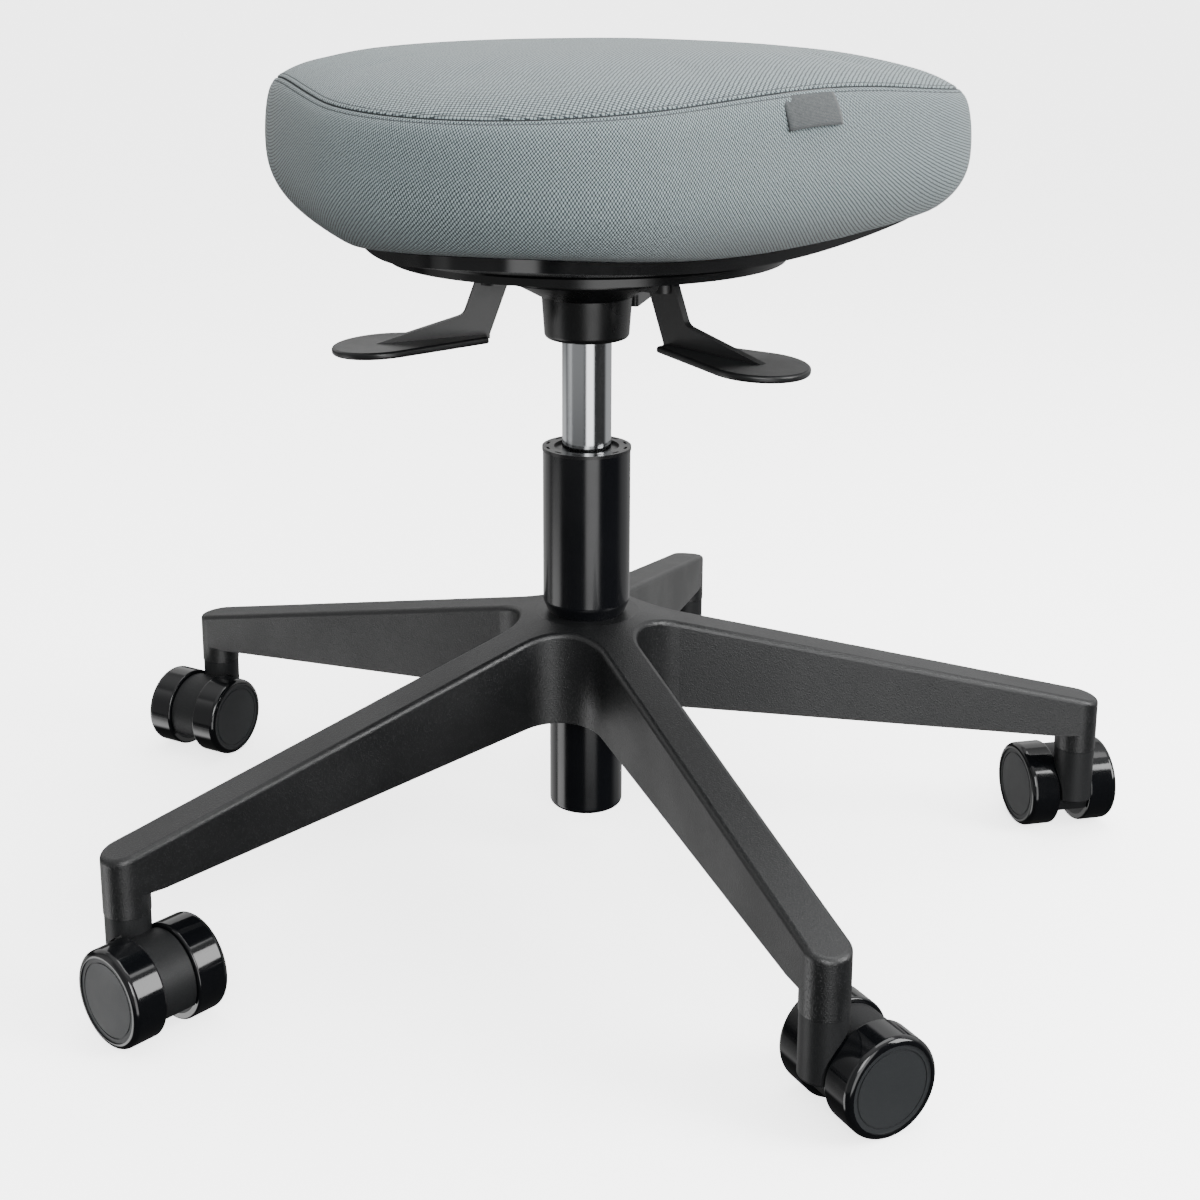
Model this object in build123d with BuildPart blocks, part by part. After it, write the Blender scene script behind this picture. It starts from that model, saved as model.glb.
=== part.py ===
"""Rolling stool: five-arm base on twin-wheel casters, gas lift, tilting mechanism, triangular seat.

Millimetres. The origin is on the floor under the column axis, +Z is up, and the
seat's front corner points towards -Y.
"""
import os
from math import atan2, cos, degrees, hypot, radians, sin

from build123d import *

# Clearances shared by every fit
running_gap = 0.06
press_gap = 0.02
resting_gap = 0.3

# Casters
wheel_diameter = 50.0
wheel_width = 18.0
wheel_gap = 19.0
wheel_side_gap = 0.5
wheel_shoulder = 3.2
wheel_inner_edge = 1.2
disc_diameter = 43.0
disc_inset = 0.7
disc_wall = 3.0
disc_hub_diameter = 13.0
groove_diameter = 38.6
groove_width = 0.7
groove_depth = 0.5
axle_diameter = 6.0
axle_end_cover = 4.0
caster_trail = 19.0
caster_headings = [200.0, 256.0, 333.0, 43.0, 117.5]
hood_inset = 2.2
hood_skirt = 10.0
neck_diameter = 23.0
neck_floor_gap = 23.0
neck_edge_round = 1.5
stem_diameter = 11.0
stem_in_boss = 24.0
stem_in_neck = 18.0
stem_tip_round = 2.0
ring_groove_depth = 1.0
ring_thickness = 1.6
ring_below_tip = 7.0
ring_slot_width = 3.0

# Star base
arm_count = 5
caster_circle_radius = 293.5
arm_width = 23.7
web_radius = 27.0
arm_edge_round = 3.0
caster_headroom = 6.0
boss_drop = 11.0
arm_tip_depth = 19.5
arm_rise_under = 25.5
hub_height = 55.0
hub_flat_radius = 30.0

# Gas lift column
column_diameter = 50.0
column_wall = 2.0
lower_tube_diameter = 42.6
hub_taper_diameter = 44.0
column_drop = 65.0
column_shown = 98.0
column_shoulder = 7.0
column_foot_round = 3.0
column_floor = 4.0
bush_flange_thickness = 2.0
bush_flange_overhang = 0.4
bush_length = 78.0
bush_recess_diameter = 37.0
bush_recess_depth = 1.6
bush_slot_count = 12
bush_slot_length = 5.0
bush_slot_width = 1.4
bearing_thickness = 6.0
bearing_diameter = 27.0
washer_thickness = 2.0
rod_diameter = 10.0
rod_neck_diameter = 8.0
rod_neck_length = 3.6
clip_thickness = 1.2
clip_diameter = 15.0
bump_stop_height = 11.0
bump_stop_diameter = 22.0

# Pressure tube that carries the seat
tube_diameter = 28.0
tube_wall = 2.0
tube_shown = 62.5
tube_top_diameter = 26.8
rod_guide_height = 12.0
piston_height = 12.0
lift_up = 70.0
lift_down = 50.0
stroke_spare = 5.0
valve_height = 18.0
pin_diameter = 6.0
pin_stroke = 3.0
pin_spare = 1.0
pin_length = 16.0

# Seat mechanism
socket_height = 29.5
socket_low_diameter = 47.5
socket_high_diameter = 50.8
socket_straight = 23.5
socket_edge_round = 3.0
flare_height = 11.0
flare_diameter = 92.0
plate_diameter = 104.0
plate_thickness = 5.0
plate_edge_round = 1.5
pocket_diameter = 32.0
lock_boss_width = 17.0
lock_boss_length = 34.0
lock_boss_depth = 18.0
lock_boss_round = 2.0
lock_boss_side = 18.0
lock_boss_back = 28.0
tilt_axis_back = 38.0
tilt_axis_rise = 6.0
tilt_pin_diameter = 7.0
tilt_ear_wall = 1.9
tilt_lug_thickness = 9.0
tilt_lug_spread = 45.0
tilt_cheek_thickness = 3.0
tilt_cheek_gap = 0.5
tilt_pin_overhang = 3.0
bracket_thickness = 3.0
bracket_width = 92.0
bracket_length = 44.0
bracket_corner = 8.0

# Levers
lever_angle = 66.0
lever_thickness = 5.0
lever_slot_gap = 0.6
lever_pivot_radius = 52.5
lever_lug_width = 15.0
lever_lug_depth = 8.0
lever_pin_diameter = 5.0
lever_lean = 20.0
strut_width = 18.5
lever_drop = 35.5
paddle_thickness = 4.0
paddle_radius = 28.0
paddle_reach = 142.0
paddle_neck_width = 21.0
paddle_edge_round = 1.5
paddle_droop = 3.5
rib_start_rise = 11.0
rib_end_radius = 118.0
lever_corner_round = 6.0
finger_height = 4.6
height_finger_reach = 3.5
tilt_finger_reach = 26.0

# Seat pan, board and cushion
pan_ring_diameter = 220.0
pan_ring_wall = 6.0
pan_ring_height = 5.5
pan_ring_step = 3.0
pan_above_plate = 7.0
pan_floor_thickness = 3.0
pan_rim_thickness = 6.0
pan_slope = 10.8
pan_side_reach = 123.0
pan_vertex_reach = 190.0
board_thickness = 9.0
board_inset = 12.0
screw_diameter = 6.0
screw_head_diameter = 11.0
screw_head_height = 3.4
screw_spread = 44.0
screw_pitch = 27.0
nut_barrel_diameter = 8.0
nut_flange_diameter = 16.0
nut_flange_thickness = 1.5
cushion_side_reach = 171.0
cushion_vertex_reach = 217.0
cushion_bow = 0.07
cushion_undercut = 62.0
cushion_undercut_height = 54.0
cushion_wall_height = 33.0
cushion_wall_draw = 9.0
cushion_crown_height = 22.0
bulge_above_ring = 60.5
tag_length = 39.0
tag_drop = 18.5
tag_thickness = 0.9
tag_from_side_middle = -18.0
tag_lean = 32.0

os.makedirs("parts", exist_ok=True)


def write_node(shape, name):
    """Label one finished piece and write it to its own file."""
    shape.label = name
    export_step(shape, f"parts/{name}.step")


def ring_profile(points):
    """A closed straight-sided profile, in (radius, height) pairs, ready to revolve."""
    with BuildSketch(Plane.XZ) as profile:
        with BuildLine():
            Polyline(*points, close=True)
        make_face()
    return profile.sketch


# Heights, worked up from the floor
axle_height = wheel_diameter / 2
boss_bottom = wheel_diameter + caster_headroom
arm_tip_under = boss_bottom + boss_drop
arm_tip_top = arm_tip_under + arm_tip_depth
hub_bottom = arm_tip_under + arm_rise_under
hub_top = hub_bottom + hub_height
column_bottom = hub_bottom - column_drop
column_floor_top = column_bottom + column_floor
bearing_top = column_floor_top + bearing_thickness
washer_top = bearing_top + washer_thickness
tube_bottom = washer_top + bump_stop_height + lift_down + stroke_spare
column_top = hub_top + column_shown
bush_top = column_top
socket_bottom = column_top + tube_shown
tube_top = socket_bottom + socket_height
flare_bottom = socket_bottom + socket_straight
plate_bottom = flare_bottom + flare_height
plate_top = plate_bottom + plate_thickness
tilt_axis_height = plate_top + tilt_axis_rise
pan_bottom = plate_top + pan_above_plate
pan_step_height = pan_bottom + pan_ring_height
pan_step_radius = pan_ring_diameter / 2 + pan_ring_step
pan_floor_top = pan_step_height + pan_rim_thickness
pan_floor_under = pan_floor_top - pan_floor_thickness
board_bottom = pan_floor_top + resting_gap
bulge_height = pan_bottom + bulge_above_ring
seam_height = bulge_height + cushion_wall_height


# Star base: five ribs that slope down from the hub, a round boss under each tip
arm_end = caster_circle_radius + arm_width / 2
tip_start = caster_circle_radius - arm_width / 2 - arm_edge_round
top_slope = (hub_top - arm_tip_top) / (arm_end - hub_flat_radius)
stem_bore_top = boss_bottom + stem_in_boss + running_gap * 4
ring_height = boss_bottom + stem_in_boss - ring_below_tip
hub_taper_top = hub_taper_diameter / 2
lower_tube_radius = lower_tube_diameter / 2


def is_on_rim(edge):
    """Whether an edge bounds the sloping top of the arms, outside the flat of the hub."""
    reach = hypot(edge.center().X, edge.center().Y)
    top = hub_top - top_slope * (reach - hub_flat_radius)
    return reach > hub_flat_radius + 1 and edge.center().Z > top - arm_edge_round


with BuildPart() as star_base:
    with BuildSketch(Plane.XY.offset(arm_tip_under)) as plan:
        with PolarLocations(0, arm_count, start_angle=90):
            with Locations((caster_circle_radius / 2, 0)):
                Rectangle(caster_circle_radius, arm_width)
        with PolarLocations(caster_circle_radius, arm_count, start_angle=90):
            Circle(arm_width / 2)
        web_corners = plan.vertices().group_by(lambda corner: hypot(corner.X, corner.Y))[0]
        fillet(web_corners, web_radius)
    extrude(amount=hub_top - arm_tip_under)
    with BuildSketch(Plane.XZ):
        with BuildLine():
            Polyline(
                (0, hub_bottom),
                (lower_tube_radius + web_radius / 2, hub_bottom),
                (tip_start, arm_tip_under),
                (arm_end + arm_width, arm_tip_under),
                (arm_end + arm_width, arm_tip_top - top_slope * arm_width),
                (hub_flat_radius, hub_top),
                (0, hub_top),
                close=True,
            )
        make_face()
    revolve(axis=Axis.Z, mode=Mode.INTERSECT)
    rim_edges = star_base.edges().filter_by(GeomType.LINE, reverse=True).filter_by(is_on_rim)
    fillet(rim_edges, arm_edge_round)
    with BuildSketch(Plane.XY.offset(boss_bottom)):
        with PolarLocations(caster_circle_radius, arm_count, start_angle=90):
            Circle(arm_width / 2)
    extrude(amount=arm_tip_under - boss_bottom)
    add(
        revolve(
            ring_profile(
                [
                    (0, hub_bottom),
                    (lower_tube_radius + press_gap, hub_bottom),
                    (hub_taper_top + press_gap, hub_top),
                    (0, hub_top),
                ]
            ),
            axis=Axis.Z,
            mode=Mode.PRIVATE,
        ),
        mode=Mode.SUBTRACT,
    )
    with BuildSketch(Plane.XY.offset(boss_bottom)):
        with PolarLocations(caster_circle_radius, arm_count, start_angle=90):
            Circle(stem_diameter / 2 + running_gap)
    extrude(amount=stem_bore_top - boss_bottom, mode=Mode.SUBTRACT)
    with BuildSketch(Plane.XY.offset(ring_height - running_gap)):
        with PolarLocations(caster_circle_radius, arm_count, start_angle=90):
            Circle(stem_diameter / 2 + ring_groove_depth)
    extrude(amount=ring_thickness + 2 * running_gap, mode=Mode.SUBTRACT)
write_node(star_base.part, "star_base")


# Grip rings: open spring rings that hold each caster stem in its boss
ring_outer = stem_diameter / 2 + ring_groove_depth - press_gap
ring_inner = stem_diameter / 2 - ring_groove_depth + running_gap
with BuildPart() as grip_rings:
    with BuildSketch(Plane.XY.offset(ring_height)):
        with PolarLocations(caster_circle_radius, arm_count, start_angle=90):
            Circle(ring_outer)
            Circle(ring_inner, mode=Mode.SUBTRACT)
        with PolarLocations(caster_circle_radius + ring_outer, arm_count, start_angle=90):
            Rectangle(ring_outer, ring_slot_width, mode=Mode.SUBTRACT)
    extrude(amount=ring_thickness)
write_node(grip_rings.part, "grip_rings")


# Column: stepped steel tube, tapered where the hub grips it, with a floor for the bearing
column_radius = column_diameter / 2
column_rim = column_top - bush_flange_thickness
shoulder_top = hub_top + column_shoulder
rod_neck_radius = rod_neck_diameter / 2
with BuildPart() as column_tube:
    with BuildSketch(Plane.XZ):
        with BuildLine():
            Polyline(
                (rod_neck_radius + resting_gap, column_bottom),
                (lower_tube_radius, column_bottom),
                (lower_tube_radius, hub_bottom),
                (hub_taper_top, hub_top),
                (column_radius, shoulder_top),
                (column_radius, column_rim),
                (column_radius - column_wall, column_rim),
                (column_radius - column_wall, shoulder_top + column_wall),
                (lower_tube_radius - column_wall, hub_top),
                (lower_tube_radius - column_wall, column_floor_top),
                (rod_neck_radius + resting_gap, column_floor_top),
                close=True,
            )
        make_face()
    revolve(axis=Axis.Z)
    foot_edge = column_tube.edges().group_by(Axis.Z)[0].sort_by(SortBy.RADIUS)[-1]
    fillet(foot_edge, column_foot_round)
    shoulder_edges = column_tube.edges().filter_by(GeomType.CIRCLE).filter_by(
        lambda edge: abs(edge.center().Z - shoulder_top) < column_wall / 2
    )
    fillet(shoulder_edges, column_shoulder * 0.7)
write_node(column_tube.part, "column_tube")


# Guide bush: plastic sleeve in the top of the column, with a slotted flange
bush_radius = column_radius - column_wall - press_gap
flange_radius = column_radius + bush_flange_overhang
tube_radius = tube_diameter / 2
with BuildPart() as guide_bush:
    with BuildSketch(Plane.XZ):
        with BuildLine():
            Polyline(
                (tube_radius + running_gap, bush_top - bush_length),
                (bush_radius, bush_top - bush_length),
                (bush_radius, column_rim),
                (flange_radius, column_rim),
                (flange_radius, bush_top),
                (bush_recess_diameter / 2, bush_top),
                (bush_recess_diameter / 2, bush_top - bush_recess_depth),
                (tube_radius + running_gap, bush_top - bush_recess_depth),
                close=True,
            )
        make_face()
    revolve(axis=Axis.Z)
    slot_circle = (bush_recess_diameter / 2 + flange_radius) / 2 + bush_slot_width / 2
    with BuildSketch(Plane.XY.offset(bush_top)):
        with PolarLocations(slot_circle, bush_slot_count):
            Rectangle(bush_slot_width, bush_slot_length)
    extrude(amount=-bush_flange_thickness / 2, mode=Mode.SUBTRACT)
write_node(guide_bush.part, "guide_bush")


# Thrust bearing: grooved race that stands on the column floor
bearing_middle = (column_floor_top + bearing_top) / 2
bearing_groove = bearing_thickness / 6
with BuildPart() as thrust_bearing:
    with BuildSketch(Plane.XZ):
        with BuildLine():
            Polyline(
                (rod_neck_radius + running_gap, column_floor_top),
                (bearing_diameter / 2, column_floor_top),
                (bearing_diameter / 2, bearing_middle - bearing_groove),
                (bearing_diameter / 2 - bearing_groove, bearing_middle),
                (bearing_diameter / 2, bearing_middle + bearing_groove),
                (bearing_diameter / 2, bearing_top),
                (rod_neck_radius + running_gap, bearing_top),
                close=True,
            )
        make_face()
    revolve(axis=Axis.Z)
write_node(thrust_bearing.part, "thrust_bearing")


# Piston rod: hangs in the column floor, with the piston on its upper end
rod_radius = rod_diameter / 2
rod_bottom = column_bottom - rod_neck_length
clip_top = column_bottom - resting_gap
clip_bottom = clip_top - clip_thickness
clip_groove = rod_neck_radius / 5
tube_inner_radius = tube_radius - tube_wall
piston_bottom = tube_bottom + rod_guide_height + lift_up + stroke_spare
piston_top = piston_bottom + piston_height
piston_radius = tube_inner_radius - running_gap
with BuildPart() as piston_rod:
    with BuildSketch(Plane.XZ):
        with BuildLine():
            Polyline(
                (0, rod_bottom),
                (rod_neck_radius, rod_bottom),
                (rod_neck_radius, clip_bottom),
                (rod_neck_radius - clip_groove, clip_bottom),
                (rod_neck_radius - clip_groove, clip_top),
                (rod_neck_radius, clip_top),
                (rod_neck_radius, washer_top),
                (rod_radius, washer_top),
                (rod_radius, piston_bottom),
                (piston_radius, piston_bottom),
                (piston_radius, piston_top),
                (0, piston_top),
                close=True,
            )
        make_face()
    revolve(axis=Axis.Z)
write_node(piston_rod.part, "piston_rod")


# Thrust washer, bump stop and retaining clip, all carried by the rod
with BuildPart() as thrust_washer:
    with BuildSketch(Plane.XY.offset(bearing_top)):
        Circle(bearing_diameter / 2)
        Circle(rod_neck_radius + press_gap, mode=Mode.SUBTRACT)
    extrude(amount=washer_thickness)
write_node(thrust_washer.part, "thrust_washer")

with BuildPart() as bump_stop:
    with BuildSketch(Plane.XY.offset(washer_top)):
        Circle(bump_stop_diameter / 2)
        Circle(rod_radius + press_gap, mode=Mode.SUBTRACT)
    extrude(amount=bump_stop_height)
    chamfer(bump_stop.edges().group_by(Axis.Z)[-1].sort_by(SortBy.RADIUS)[-1], bump_stop_height / 4)
write_node(bump_stop.part, "bump_stop")

with BuildPart() as retaining_clip:
    with BuildSketch(Plane.XY.offset(clip_bottom)):
        Circle(clip_diameter / 2)
        Circle(rod_neck_radius - clip_groove + press_gap, mode=Mode.SUBTRACT)
        with Locations((clip_diameter / 4, 0)):
            Rectangle(clip_diameter / 2, rod_neck_radius, mode=Mode.SUBTRACT)
    extrude(amount=clip_thickness)
write_node(retaining_clip.part, "retaining_clip")


# Pressure tube: bright steel cylinder, tapered where the seat socket grips it
tube_top_radius = tube_top_diameter / 2
with BuildPart() as pressure_tube:
    with BuildSketch(Plane.XZ):
        with BuildLine():
            Polyline(
                (tube_inner_radius, tube_bottom),
                (tube_radius, tube_bottom),
                (tube_radius, socket_bottom),
                (tube_top_radius, tube_top),
                (tube_inner_radius, tube_top),
                close=True,
            )
        make_face()
    revolve(axis=Axis.Z)
write_node(pressure_tube.part, "pressure_tube")


# Plugs in the two ends of the pressure tube
with BuildPart() as rod_guide:
    with BuildSketch(Plane.XY.offset(tube_bottom)):
        Circle(tube_inner_radius - press_gap)
        Circle(rod_radius + running_gap, mode=Mode.SUBTRACT)
    extrude(amount=rod_guide_height)
write_node(rod_guide.part, "rod_guide")

with BuildPart() as valve_plug:
    with BuildSketch(Plane.XY.offset(tube_top - valve_height)):
        Circle(tube_inner_radius - press_gap)
        Circle(pin_diameter / 2 + running_gap, mode=Mode.SUBTRACT)
    extrude(amount=valve_height)
write_node(valve_plug.part, "valve_plug")


# Release pin: pressed down by the height lever to free the lift
pin_top = tube_top + pin_stroke + pin_spare
with BuildPart() as release_pin:
    with BuildSketch(Plane.XY.offset(pin_top - pin_length)):
        Circle(pin_diameter / 2)
    extrude(amount=pin_length)
    chamfer(release_pin.edges().group_by(Axis.Z)[-1], pin_diameter / 10)
write_node(release_pin.part, "release_pin")


# Mechanism housing: cast socket, flare and plate, with lugs for the tilt pin
plate_radius = plate_diameter / 2
lever_lug_bottom = plate_top - lever_lug_depth
lever_lug_reach = lever_pivot_radius + lever_lug_width / 2
lever_pivot_height = (lever_lug_bottom + plate_top) / 2
lever_slot_width = lever_thickness + 2 * lever_slot_gap
lever_pin_radius = lever_pin_diameter / 2
lever_directions = [-90 + lever_angle, -90 - lever_angle]
tilt_pin_radius = tilt_pin_diameter / 2
tilt_ear_radius = tilt_pin_radius + tilt_ear_wall
tilt_lug_middle = (tilt_lug_spread - tilt_lug_thickness) / 2


def lever_plane(direction):
    """Upright plane along one lever: local x runs outwards, local y runs up."""
    along = (cos(radians(direction)), sin(radians(direction)), 0)
    across = (sin(radians(direction)), -cos(radians(direction)), 0)
    return Plane(origin=(0, 0, 0), x_dir=along, z_dir=across)


def tilt_ear(plane_offset, ear_base):
    """Outline of one rounded ear round the tilt axis, on an upright plane across it."""
    with BuildSketch(Plane.YZ.offset(plane_offset)) as ear:
        with Locations((tilt_axis_back, tilt_axis_height)):
            Circle(tilt_ear_radius)
        with Locations((tilt_axis_back, (ear_base + tilt_axis_height) / 2)):
            Rectangle(2 * tilt_ear_radius, abs(ear_base - tilt_axis_height))
    return ear.sketch


with BuildPart() as mechanism_housing:
    with BuildSketch(Plane.XZ):
        with BuildLine():
            Polyline(
                (0, socket_bottom),
                (socket_low_diameter / 2, socket_bottom),
                (socket_high_diameter / 2, flare_bottom),
                (flare_diameter / 2, plate_bottom),
                (plate_radius, plate_bottom),
                (plate_radius, plate_top),
                (0, plate_top),
                close=True,
            )
        make_face()
    revolve(axis=Axis.Z)
    fillet(mechanism_housing.edges().group_by(Axis.Z)[0], socket_edge_round)
    fillet(mechanism_housing.edges().filter_by(GeomType.CIRCLE).sort_by(SortBy.RADIUS)[-2:], plate_edge_round)
    with BuildSketch(Plane.XY.offset(plate_bottom)):
        with Locations((lock_boss_side, lock_boss_back)):
            RectangleRounded(lock_boss_width, lock_boss_length, lock_boss_round)
    extrude(amount=-lock_boss_depth)
    for direction in lever_directions:
        with BuildSketch(Plane.XY.rotated((0, 0, direction)).offset(lever_lug_bottom)):
            Rectangle(lever_pivot_radius, lever_lug_width, align=(Align.MIN, Align.CENTER))
            with Locations((lever_pivot_radius, 0)):
                Circle(lever_lug_width / 2)
        extrude(amount=lever_lug_depth)
    for side in (-1, 1):
        extrude(tilt_ear(side * tilt_lug_middle, plate_top), amount=tilt_lug_thickness / 2, both=True)
    with BuildSketch(Plane.YZ):
        with Locations((tilt_axis_back, tilt_axis_height)):
            Circle(tilt_pin_radius + press_gap)
    extrude(amount=tilt_lug_spread, both=True, mode=Mode.SUBTRACT)
    add(
        revolve(
            ring_profile(
                [
                    (0, socket_bottom),
                    (tube_radius + press_gap, socket_bottom),
                    (tube_top_radius + press_gap, tube_top),
                    (pocket_diameter / 2, tube_top),
                    (pocket_diameter / 2, plate_top),
                    (0, plate_top),
                ]
            ),
            axis=Axis.Z,
            mode=Mode.PRIVATE,
        ),
        mode=Mode.SUBTRACT,
    )
    for direction in lever_directions:
        with BuildSketch(lever_plane(direction)):
            with Locations((0, tube_top)):
                Rectangle(lever_lug_reach, plate_top - tube_top, align=(Align.MIN, Align.MIN))
        extrude(amount=lever_slot_width / 2, both=True, mode=Mode.SUBTRACT)
        with BuildSketch(lever_plane(direction)):
            with Locations((lever_pivot_radius, lever_pivot_height)):
                Circle(lever_pin_radius + press_gap)
        extrude(amount=lever_lug_width, both=True, mode=Mode.SUBTRACT)
write_node(mechanism_housing.part, "mechanism_housing")


# Lever pins: one steel pin across each lever slot
with BuildPart() as lever_pins:
    for direction in lever_directions:
        with BuildSketch(lever_plane(direction)):
            with Locations((lever_pivot_radius, lever_pivot_height)):
                Circle(lever_pin_radius)
        extrude(amount=lever_lug_width / 2, both=True)
write_node(lever_pins.part, "lever_pins")


# Tilt pin: runs through both lugs and both cheeks of the seat bracket
cheek_middle = tilt_lug_spread / 2 + tilt_cheek_gap + tilt_cheek_thickness / 2
tilt_pin_half = cheek_middle + tilt_cheek_thickness / 2 + tilt_pin_overhang
with BuildPart() as tilt_pin:
    with BuildSketch(Plane.YZ):
        with Locations((tilt_axis_back, tilt_axis_height)):
            Circle(tilt_pin_radius)
    extrude(amount=tilt_pin_half, both=True)
    chamfer(tilt_pin.edges(), tilt_pin_radius / 6)
write_node(tilt_pin.part, "tilt_pin")


# Tilt bracket: bent steel plate under the seat pan, with two cheeks on the tilt pin
bracket_bottom = pan_floor_under - bracket_thickness
with BuildPart() as tilt_bracket:
    with BuildSketch(Plane.XY.offset(bracket_bottom)):
        with Locations((0, tilt_axis_back)):
            RectangleRounded(bracket_width, bracket_length, bracket_corner)
            with GridLocations(screw_spread, screw_pitch, 2, 2):
                Circle(screw_diameter / 2 + running_gap, mode=Mode.SUBTRACT)
    extrude(amount=bracket_thickness)
    for side in (-1, 1):
        extrude(tilt_ear(side * cheek_middle, bracket_bottom), amount=tilt_cheek_thickness / 2, both=True)
    with BuildSketch(Plane.YZ):
        with Locations((tilt_axis_back, tilt_axis_height)):
            Circle(tilt_pin_radius + running_gap)
    extrude(amount=bracket_width, both=True, mode=Mode.SUBTRACT)
write_node(tilt_bracket.part, "tilt_bracket")


# Levers: moulded strut, rib and round paddle, with a finger that reaches into the housing
paddle_bottom = lever_pivot_height - lever_drop
paddle_top = paddle_bottom + paddle_thickness
finger_bottom = pin_top + resting_gap
lean_slope = sin(radians(lever_lean)) / cos(radians(lever_lean))
droop_slope = sin(radians(paddle_droop)) / cos(radians(paddle_droop))


def strut_edge(height, side):
    """Radius of the strut's inner (-1) or outer (+1) edge at a height."""
    middle = lever_pivot_radius + (lever_pivot_height - height) * lean_slope
    return middle + side * strut_width / 2


def paddle_plane(direction, root):
    """Plane under one paddle: it starts at a radius and droops as it runs outwards."""
    along = Vector(cos(radians(direction)), sin(radians(direction)), 0)
    up = Vector(0, 0, 1)
    return Plane(
        origin=along * root + up * paddle_bottom,
        x_dir=along * cos(radians(paddle_droop)) - up * sin(radians(paddle_droop)),
        z_dir=along * sin(radians(paddle_droop)) + up * cos(radians(paddle_droop)),
    )


def build_lever(direction, finger_reach):
    """One lever, along a direction, whose finger ends at a radius from the column axis."""
    rib_top = paddle_top + rib_start_rise
    elbow = (strut_edge(rib_top, 1), rib_top)
    paddle_root = strut_edge(paddle_bottom, -1)
    rib_drop = (rib_end_radius - paddle_root) * droop_slope
    slope = paddle_plane(direction, paddle_root)
    with BuildPart() as lever:
        with BuildSketch(slope):
            with Locations((paddle_reach - paddle_radius - paddle_root, 0)):
                Circle(paddle_radius)
            Rectangle(lever_thickness, paddle_neck_width, align=(Align.MIN, Align.CENTER))
            make_hull()
        extrude(amount=paddle_thickness)
        layers = lever.faces().sort_by(Axis(slope.origin, slope.z_dir))
        fillet(layers[0].edges() + layers[-1].edges(), paddle_edge_round)
        with BuildSketch(lever_plane(direction)) as web:
            with BuildLine():
                Polyline(
                    (finger_reach, finger_bottom),
                    (strut_edge(finger_bottom, -1), finger_bottom),
                    (strut_edge(paddle_top, -1), paddle_top),
                    (strut_edge(paddle_top, -1), paddle_bottom + paddle_edge_round),
                    (rib_end_radius, paddle_bottom + paddle_edge_round - rib_drop),
                    (rib_end_radius, paddle_top - rib_drop),
                    elbow,
                    (strut_edge(lever_pivot_height, 1), lever_pivot_height),
                    (lever_pivot_radius + strut_width / 3, plate_top),
                    (lever_pivot_radius - strut_width / 3, plate_top),
                    (finger_reach, finger_bottom + finger_height),
                    close=True,
                )
            make_face()
            corners = web.vertices().sort_by(lambda corner: hypot(corner.X - elbow[0], corner.Y - elbow[1]))
            fillet(corners[0], lever_corner_round)
            with Locations((lever_pivot_radius, lever_pivot_height)):
                Circle(lever_pin_radius + running_gap, mode=Mode.SUBTRACT)
        extrude(amount=lever_thickness / 2, both=True)
    return lever.part


write_node(build_lever(lever_directions[1], -height_finger_reach), "height_lever")
write_node(build_lever(lever_directions[0], tilt_finger_reach), "tilt_lever")


# Outline shared by the pan, the board and the cushion
corner_angles = [-90, 30, 150]


def triangle_face(height, side_reach, vertex_reach, bow):
    """Face of six arcs at a height: three broad corners and three faintly bowed sides."""
    corner_radius = 2 * side_reach - vertex_reach - bow
    corner_centre = vertex_reach - corner_radius
    bite = side_reach - corner_radius
    side_centre = (corner_centre**2 - bite**2) / bow
    swing = degrees(atan2(side_centre * sin(radians(60)), corner_centre + side_centre * cos(radians(60))))
    with BuildSketch(Plane.XY.offset(height)) as outline:
        with BuildLine():
            for angle in corner_angles:
                middle = Vector(corner_centre, 0).rotate(Axis.Z, angle)
                start = middle + Vector(corner_radius, 0).rotate(Axis.Z, angle - swing)
                peak = middle + Vector(corner_radius, 0).rotate(Axis.Z, angle)
                end = middle + Vector(corner_radius, 0).rotate(Axis.Z, angle + swing)
                next_start = start.rotate(Axis.Z, 120)
                side_peak = Vector(side_reach, 0).rotate(Axis.Z, angle + 60)
                ThreePointArc(start, peak, end)
                ThreePointArc(end, side_peak, next_start)
        make_face()
    return outline.sketch


# Seat pan: round ring under a shallow dish that is trimmed to the triangle
pan_bow = pan_side_reach * cushion_bow
dish_slope = sin(radians(pan_slope)) / cos(radians(pan_slope))
dish_reach = pan_vertex_reach + pan_ring_wall
dish_rise = (dish_reach - pan_step_radius) * dish_slope
ring_radius = pan_ring_diameter / 2
with BuildPart() as seat_pan:
    extrude(
        triangle_face(pan_bottom, pan_side_reach, pan_vertex_reach, pan_bow),
        amount=dish_rise + pan_floor_top - pan_bottom,
    )
    with BuildSketch(Plane.XZ):
        with BuildLine():
            Polyline(
                (0, pan_floor_under),
                (ring_radius - pan_ring_wall, pan_floor_under),
                (ring_radius - pan_ring_wall, pan_bottom),
                (ring_radius, pan_bottom),
                (ring_radius, pan_step_height - pan_ring_step / 2),
                (pan_step_radius, pan_step_height),
                (dish_reach, pan_step_height + dish_rise),
                (dish_reach, pan_floor_top + dish_rise),
                (pan_step_radius, pan_floor_top),
                (0, pan_floor_top),
                close=True,
            )
        make_face()
    revolve(axis=Axis.Z, mode=Mode.INTERSECT)
    with BuildSketch(Plane.XY.offset(pan_floor_under)):
        with Locations((0, tilt_axis_back)):
            with GridLocations(screw_spread, screw_pitch, 2, 2):
                Circle(screw_diameter / 2 + running_gap)
    extrude(amount=pan_floor_thickness, mode=Mode.SUBTRACT)
write_node(seat_pan.part, "seat_pan")


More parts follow.
